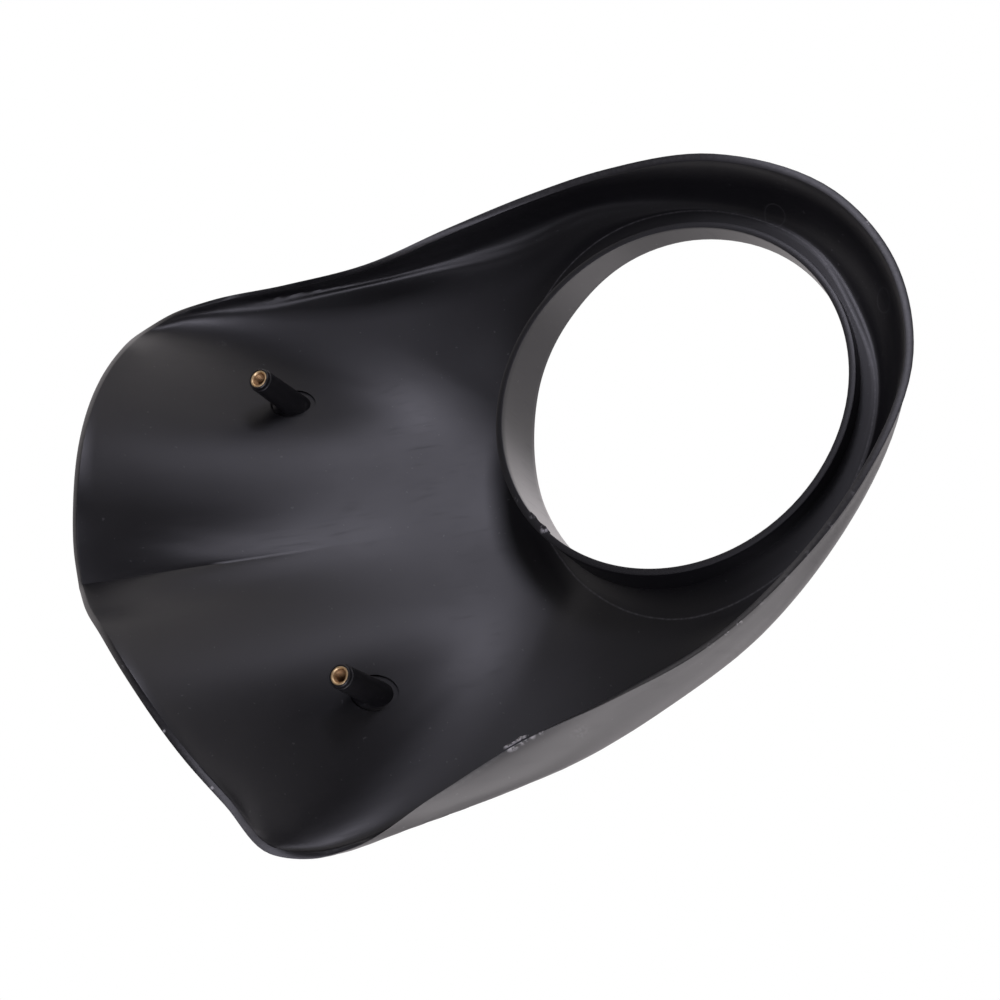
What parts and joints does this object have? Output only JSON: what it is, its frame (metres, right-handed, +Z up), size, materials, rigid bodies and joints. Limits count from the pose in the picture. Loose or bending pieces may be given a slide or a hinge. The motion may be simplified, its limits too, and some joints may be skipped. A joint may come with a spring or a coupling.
{
  "type": "headlight cowl",
  "caption": "Moulded motorcycle headlight cowl: a freeform skin with a round lamp tube, a small screen with a creased crown, and posts with brass threaded inserts.",
  "frame": {"origin": "centre of the lamp tube's rear rim, on the tube's axis", "axes": "+Y rearward along the tube's axis, out of its rear mouth; +Z up towards the crown; +X across"},
  "size_m": [0.2682, 0.127, 0.346],
  "materials": {
    "black_plastic": "satin black as moulded",
    "brass_insert": "plain turned and knurled"
  },
  "bodies": {
    "root": {"cowl_shell": "black_plastic", "insert_left": "brass_insert", "insert_right": "brass_insert"}
  },
  "joints": []
}
